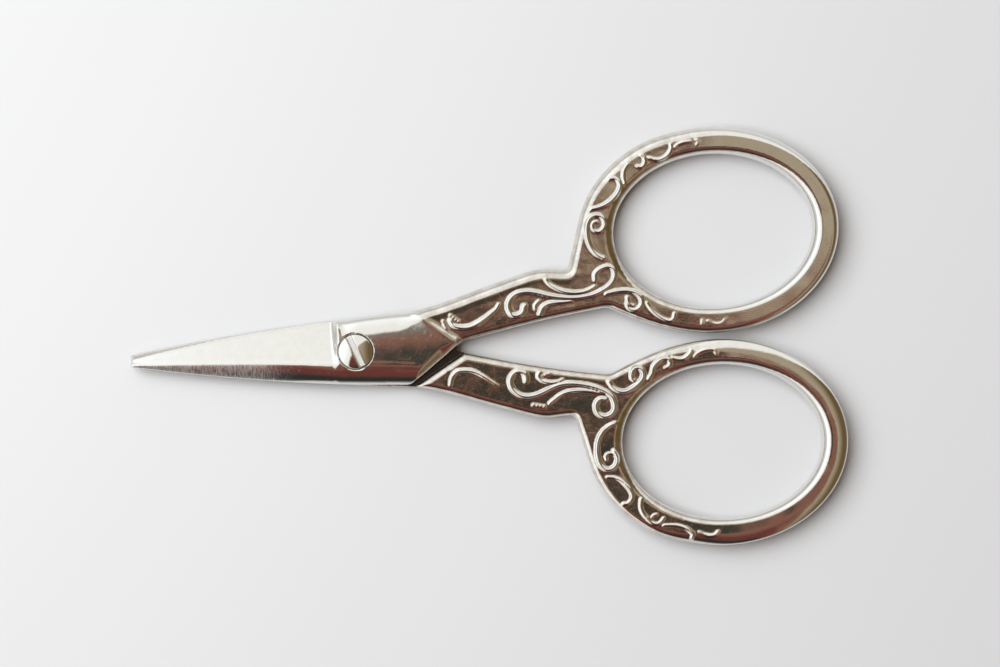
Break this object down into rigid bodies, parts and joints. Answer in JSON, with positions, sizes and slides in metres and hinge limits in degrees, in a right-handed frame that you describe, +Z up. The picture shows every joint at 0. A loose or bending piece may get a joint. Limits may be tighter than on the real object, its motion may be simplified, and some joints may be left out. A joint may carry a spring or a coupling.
{
  "type": "embroidery scissors",
  "caption": "Small embroidery scissors with slender pointed blades, oval finger bows with raised scroll ornament, and a slotted pivot screw.",
  "frame": {"origin": "on the pivot axis, in the plane the scissors lie on", "axes": "+X from the blades to the finger bows along the line midway between the halves, +Y to the front half's bow, +Z up through both halves, out of the screw's slotted head"},
  "size_m": [0.0886, 0.052, 0.0035],
  "materials": {
    "front_half_plating": "polished nickel plate, worn",
    "rear_half_plating": "polished nickel plate, worn",
    "screw_plating": "polished nickel plate"
  },
  "bodies": {
    "rear_blade": {"rear_half": "rear_half_plating", "pivot_screw": "screw_plating"},
    "front_blade": {"front_half": "front_half_plating"}
  },
  "joints": [
    {"name": "blade_pivot", "type": "hinge", "parent": "rear_blade", "child": "front_blade", "pos_m": [0, 0, 0.0016], "axis": [0, 0, 1], "range_deg": [-1, 120]}
  ]
}
